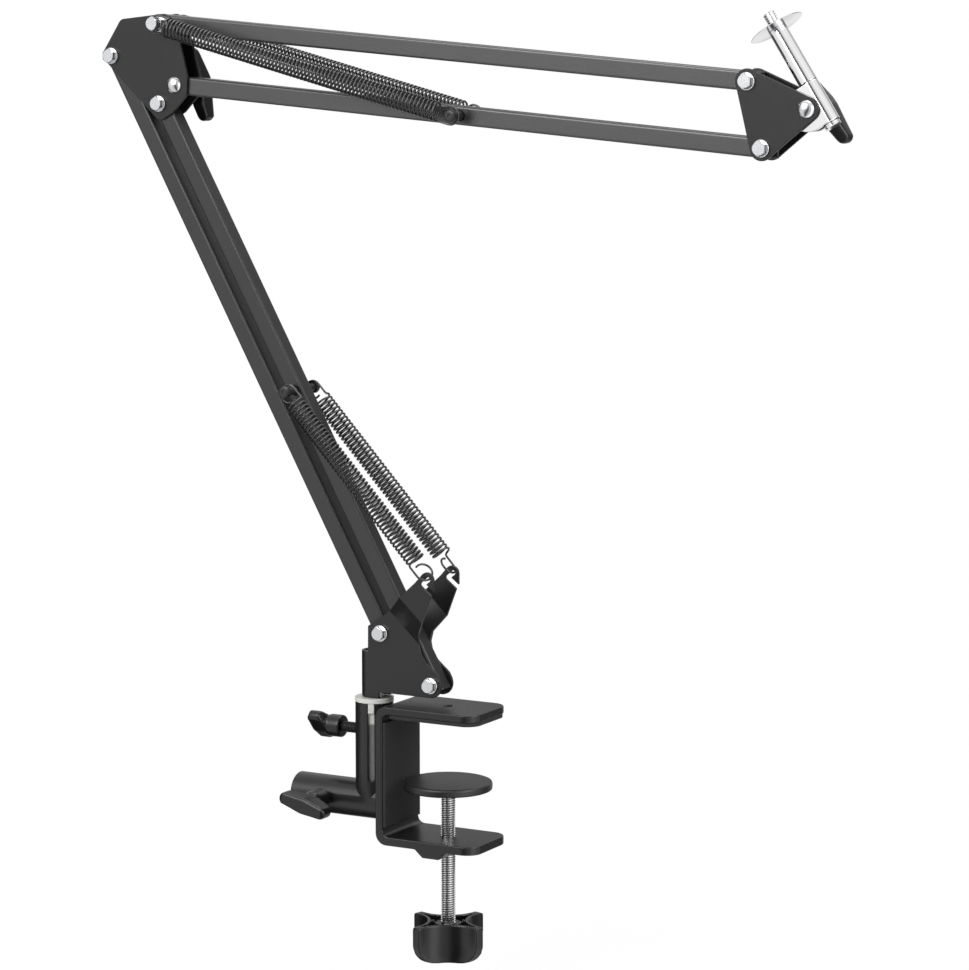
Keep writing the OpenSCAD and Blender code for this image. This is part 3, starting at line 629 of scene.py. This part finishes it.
# wings and threads are set along their screw, from the axis of the tube that it locks
m6_r, m6_pitch = 3, 1
front = Matrix.Rotation(radians(90), 4, "X")
tilt_axis = Matrix.Translation(joint_at("tilt_lock_turn")) @ front
tilt_wing = piece(
    "tilt_wing", "tilt_lock", "black_plastic", moulded_abs,
    wing(further(tilt_axis, 13.5, turn=-15), *even(30, 11.5),
         length=30, width=9.5, hub_r=6.2, hub_h=10),
    "tilt_lock_wing",
)
fuse(tilt_wing)
piece(
    "tilt_screw_thread", "tilt_lock", "black_paint", black_oxide,
    [thread(further(tilt_axis, 8.3), m6_r, m6_pitch, 14.2)], "tilt_lock_screw",
)
back = Matrix.Rotation(radians(-90), 4, "Y")
pan_axis = Matrix.Translation(joint_at("pan_lock_turn")) @ back
pan_wing = piece(
    "pan_wing", "pan_lock", "black_plastic", moulded_abs,
    wing(further(pan_axis, 20, turn=-48), *even(22, 10.5),
         length=22, width=9, hub_r=6.2, hub_h=8),
    "pan_lock_wing",
)
fuse(pan_wing)
piece(
    "pan_screw_thread", "pan_lock", "black_paint", black_oxide,
    [thread(further(pan_axis, 5.6), m6_r, m6_pitch, 20)], "pan_lock_screw",
)


# Bolts, washers and nuts
# M4 hexagon bolts with plain washers and nuts, zinc plated. They pass through the plates and
# the tubes, heads in front and nuts behind.

m4_r, m4_pitch = 2, 0.7
flat_r, head_h, nut_h, washer_t = 3.5, 2.8, 4, 1
plate_y = mm(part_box("elbow_plate_rear")[1].y)
washer_y = plate_y + washer_t
nut_y = washer_y + nut_h
# the heads and nuts that keep the springs' loops on stand this far out
keeper_y = 13.6
# every pivot by the end of the tube that it carries
pivot = {
    "lower main foot": joint_at("lower_arm_swing"),
    "lower link foot": joint_at("lower_link_swing"),
    "lower main tip": joint_at("elbow_level"),
    "upper main foot": joint_at("upper_arm_swing"),
    "upper link foot": joint_at("upper_link_swing"),
    "upper main tip": joint_at("head_level"),
    "clip": joint_at("clip_swing"),
}
for arm in ("lower", "upper"):
    beside = pivot[arm + " link foot"] - pivot[arm + " main foot"]
    pivot[arm + " link tip"] = pivot[arm + " main tip"] + beside
rear = Matrix.Rotation(radians(-90), 4, "X")


def seat(key, y, facing):
    """Place on a pivot's axis, its Z to the front or to the rear."""
    return Matrix.Translation(pivot[key] + Vector((0, y, 0))) @ facing


def hexagon(place, height, both_ends=False):
    """Hexagon whose far end is turned off at the corners, or both ends for a nut."""
    sides, land_r = 60, 0.95 * flat_r
    rings = [[], [], [], []]
    for j in range(sides):
        angle = 2 * pi * j / sides
        corner_r = flat_r / cos((angle + pi / 6) % (pi / 3) - pi / 6)
        drop = 0.12 + 0.62 * (corner_r - flat_r)
        near = [(land_r, 0), (corner_r, drop)] if both_ends else [(corner_r, 0), (corner_r, 0.02)]
        far = [(corner_r, height - drop), (land_r, height)]
        for ring, (radius, z) in zip(rings, near + far):
            ring.append(on_circle(place, radius, angle, z))
    return loft(rings)


def washer(place):
    """Plain stamped washer, its outer edges broken."""
    return turned(place, [(1.9, 0), (4.35, 0), (4.5, 0.15), (4.5, 0.85), (4.35, 1), (1.9, 1)])


def shank(key, y, length):
    """Smooth part of a bolt, from just inside its head."""
    return bar(seat(key, y - 0.2, rear), m4_r, 0, length)


def bolt_thread(key, y, length):
    """Thread at the rear end of a bolt."""
    return thread(seat(key, y, rear), m4_r, m4_pitch, length, sides=28)


def bolt(key):
    """Head, shank and thread of a short bolt."""
    return [hexagon(seat(key, -washer_y, front), head_h), shank(key, -washer_y, 15.5),
            bolt_thread(key, washer_y - 0.5, 5.3)]


def nut(key, y):
    """Nut that starts at y and stands to the rear."""
    return hexagon(seat(key, y, rear), nut_h, both_ends=True)


for group, keys in (
    ("base", ("lower main foot", "lower link foot")),
    ("elbow", ("lower main tip", "lower link tip")),
    ("head", ("upper main tip", "upper link tip")),
):
    bolts = [shape for key in keys for shape in bolt(key)]
    washers = [washer(seat(key, y, rear)) for key in keys for y in (-washer_y, plate_y)]
    nuts = [nut(key, washer_y) for key in keys]
    if group == "elbow":
        # the long bolt's three nuts and two washers, and the carriage bolt's washer
        washers += [washer(seat("upper main foot", y, rear)) for y in (-washer_y, plate_y)]
        washers.append(washer(seat("upper link foot", plate_y, rear)))
        nuts += [nut("upper main foot", y) for y in (washer_y, -nut_y, keeper_y)]
    if group == "head":
        washers.append(washer(seat("clip", plate_y, rear)))
    piece(group + "_hex_bolts", group, "zinc_steel", zinc_plate, bolts, group + "_bolts")
    piece(group + "_plain_washers", group, "zinc_steel", zinc_plate, washers, group + "_washers")
    piece(group + "_hex_nuts", group, "zinc_steel", zinc_plate, nuts, group + "_nuts")
piece(
    "long_bolt", "elbow", "zinc_steel", zinc_plate,
    [hexagon(seat("upper main foot", -keeper_y, front), head_h),
     shank("upper main foot", -keeper_y, 22), bolt_thread("upper main foot", 7, 11.6)],
    "elbow_spring_bolt",
)


# Carriage bolts and wing nuts
# A domed M4 bolt through the elbow and one through the clip, zinc plated, each with a large
# wing nut of moulded ABS behind, to be tightened by hand.

dome_r, dome_h = 4.7, 2.9
dome = [(0, -0.4), (4.6, -0.4)]
dome += [(dome_r * cos(radians(a)), dome_h * sin(radians(a))) for a in range(2, 90, 8)]
dome.append((0, dome_h))
# one end of the blade is tall and blunt, the other long and low
blade_low = [(-20.5, 3.6), (-11, -0.4), (20, -0.4), (20.5, 0.2)]
blade_high = [(-20.5, 9.5), (-18.5, 11), (4, 11), (19.5, 2.9), (20.5, 1.9)]
for group, key, turn in (("elbow", "upper link foot", 98), ("head", "clip", 123)):
    piece(
        group + "_dome_bolt", group, "zinc_steel", zinc_plate,
        [turned(seat(key, -plate_y, front), dome, sides=48), shank(key, -plate_y, 14),
         bolt_thread(key, plate_y, 14.8)],
        group + "_carriage_bolt",
    )
    nut_seat = further(seat(key, washer_y, rear), 0.3, turn=-turn)
    blade = piece(
        group + "_wing", group + "_wing", "black_plastic", moulded_abs,
        wing(nut_seat, blade_low, blade_high, length=41, width=9.4, hub_r=6, hub_h=6),
        group + "_wing_nut",
    )
    fuse(blade, smooth=2)


# Spring pins
# Blackened steel pins across the link tubes, about half way up them. Turned round heads
# with a small hollow keep the spring loops on.

pin_r = 2.4
pin_head = [(2.3, 0), (3.1, 0), (3.3, 0.25), (3.3, 2.3), (3.1, 2.8), (2.6, 3.1), (1.9, 3.2),
            (1.1, 3.15), (0.9, 2.7), (0, 2.6)]
for arm, pin_up in (("lower", 178), ("upper", 180)):
    foot, tip = pivot[arm + " link foot"], pivot[arm + " link tip"]
    pin = arm + " pin"
    pivot[pin] = foot + pin_up * (tip - foot).normalized()
    shapes = [bar(seat(pin, 0, rear), pin_r, -keeper_y, keeper_y)]
    shapes += [turned(seat(pin, y, facing), pin_head)
               for y, facing in ((-keeper_y, front), (keeper_y, rear))]
    piece(arm + "_cross_pin", arm + "_link", "black_paint", black_oxide, shapes,
          arm + "_spring_pin")


# Tension springs
# Blackened music wire of 1.2 mm, wound to 11 mm over all with a round loop at each end. The lower
# pair hooks from the pin into the bracket's notches, the upper pair from the long bolt to the pin.

# hard and black, with a bright line along each curl
music_wire, tree, shader, place = surface("blackened music wire")
mottle(tree, place, shader.inputs["Base Color"], "#1b1b1c", "#262627", grain_mm=8)
shader.inputs["IOR"].default_value = 1.7
mottle(tree, place, shader.inputs["Roughness"], 0.22, 0.32, grain_mm=4)

coil_r, wire_r, spring_y, play = 4.9, 0.6, 13.8, 0.06
bend = 2 * wire_r
loop_x = coil_r + 1.8 * bend
# the frame's loops are drawn in steps of 40 degrees, and hang on their pins a little further in
loop_in = loop_x + coil_r * cos(radians(20)) - wire_r


def sweep(path, radius, sides=8):
    """Round wire along a path, its ring carried along without twisting."""
    rings, side = [], None
    for i, point in enumerate(path):
        ahead = (path[min(i + 1, len(path) - 1)] - path[max(i - 1, 0)]).normalized()
        side = ahead.orthogonal() if side is None else side - ahead * side.dot(ahead)
        side.normalize()
        other = ahead.cross(side)
        angles = [2 * pi * k / sides for k in range(sides)]
        rings.append([point + radius * (cos(a) * side + sin(a) * other) for a in angles])
    return loft(rings)


def loop(wrap=272, steps=24):
    """A coil's end, outwards from its last curl: a bend aside, and a loop of some degrees."""
    path = [Vector((0.3 * bend, -0.7 * bend, -coil_r))]
    path += [Vector((x, -bend, -coil_r)) for x in (bend, 1.5 * bend, loop_x - 2)]
    for i in range(steps + 1):
        a = radians(-80 + wrap * i / steps)
        path.append(Vector((loop_x + coil_r * cos(a), -bend, coil_r * sin(a))))
    return path


def spring_path(length, turns, last_loop):
    """From the first loop, along the coil, to the last loop, turned as the curls leave it."""
    per_turn = 18
    path = [Matrix.Rotation(pi, 3, "Y") @ p for p in reversed(loop())]
    count = int(per_turn * turns + 0.5)
    for i in range(count + 1):
        a = pi / 2 - 2 * pi * turns * i / count
        path.append(Vector((length * i / count, coil_r * cos(a), coil_r * sin(a))))
    turn = Matrix.Rotation(pi - 2 * pi * turns, 3, "X")
    return path + [Vector((length, 0, 0)) + turn @ p for p in last_loop]


def spring(name, body, side, foot, lean, start, path):
    """A spring whose coil starts at a distance from its foot, behind, or mirrored to the front."""
    place = Matrix.Scale(side, 4, (0, 1, 0)) @ Matrix.Translation(foot)
    place @= Matrix.Rotation(-lean, 4, "Y") @ Matrix.Translation((start, spring_y, 0))
    return piece(name.replace("spring", "coil"), body, "spring_wire", music_wire,
                 [sweep([place @ p for p in path], wire_r)], name, sharp=60)


pin_start = loop_in - pin_r - play
bolt_start = loop_in - m4_r - play
foot = pivot["lower pin"]
line = joint_at("lower_spring_turn") - foot
lean = atan2(line.z, line.x) + asin(bend / line.length)
# the far loop hooks on by its outermost wire, and lies across the arm
length = sqrt(line.length**2 - bend**2) - pin_start - (loop_x + coil_r)
lower_turns, upper_turns = 46.25, 74.5
# the front spring is wound a little further, so that its hook leans as it does on the real arm
for side, name, twist in ((1, "rear", 0), (-1, "front", 30)):
    path = spring_path(length, lower_turns + twist / 360, loop(wrap=282, steps=26))
    spring("lower_spring_" + name, "lower_springs", side, foot, lean, pin_start, path)

foot, pin = pivot["upper main foot"], pivot["upper pin"]
line = pin - foot
lean = atan2(line.z, line.x)
length = line.length - bolt_start - pin_start
# the loops on the long bolt stay with the elbow, and the rest turns with the tube
# the upper springs are tied to no body, and where they stand is put into their mesh
for side, name in ((1, "rear"), (-1, "front")):
    path = spring_path(length, upper_turns, loop())
    coil = spring("upper_spring_" + name, None, side, foot, lean, bolt_start, path)
    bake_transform(coil)


# Microphone post, its flange and the swivel clip
# Turned steel with bright chrome: a neck that the clip's sheet wraps, a body, a thin disc and
# a threaded stud of 1/4 inch. It mirrors the studio, a little hazed.

bright_chrome, tree, shader, place = surface("bright chrome plate")
mottle(tree, place, shader.inputs["Base Color"], "#ececee", "#f4f4f5", grain_mm=12)
shader.inputs["Metallic"].default_value = 1.0
mottle(tree, place, shader.inputs["Roughness"], 0.12, 0.17, grain_mm=5)
soften(bright_chrome, "bright_chrome", 0.25, "swivel_clip")

axis = Vector(joints["post_spin"]["axis"])
across = Vector((axis.z, 0, -axis.x))
on_post = Matrix.Translation(joint_at("post_spin"))
on_post @= Matrix((across, Vector((0, 1, 0)), axis)).transposed().to_4x4()
post = [
    (0, -13.9), (3.9, -13.9), (4.4, -13.5), (4.4, -12.9), (4.0, -12.8), (4.0, -12.5),
    (4.4, -12.4), (4.4, -11.9), (4.2, -11.7), (2.7, -11.7), (2.7, 11.7), (4.5, 11.7),
    (4.8, 11.85), (4.9, 12.1), (4.9, 43.1), (4.8, 43.4), (4.5, 43.5), (3.6, 43.5),
    (3.6, 45), (0, 45),
]
stud_end = [(0, 52.3), (2.35, 52.3), (2.35, 52.75), (2.1, 52.9), (0, 52.9)]
stud_r, stud_pitch, stud_foot, stud_len = 3.175, 1.27, 44.6, 7.8
piece(
    "chrome_post", "post", "bright_chrome", bright_chrome,
    [turned(on_post, post, sides=56),
     thread(further(on_post, stud_foot), stud_r, stud_pitch, stud_len, sides=40),
     turned(on_post, stud_end)],
    "mic_post",
)
flange = [
    (3.62, 43.5), (7, 43.55), (14.3, 44.1), (14.5, 44.25), (14.3, 44.4), (7, 44.95),
    (3.62, 45), (3.62, 43.5),
]
piece(
    "thin_flange", "post", "bright_chrome", bright_chrome,
    [turned(on_post, flange, sides=72)], "post_flange",
)
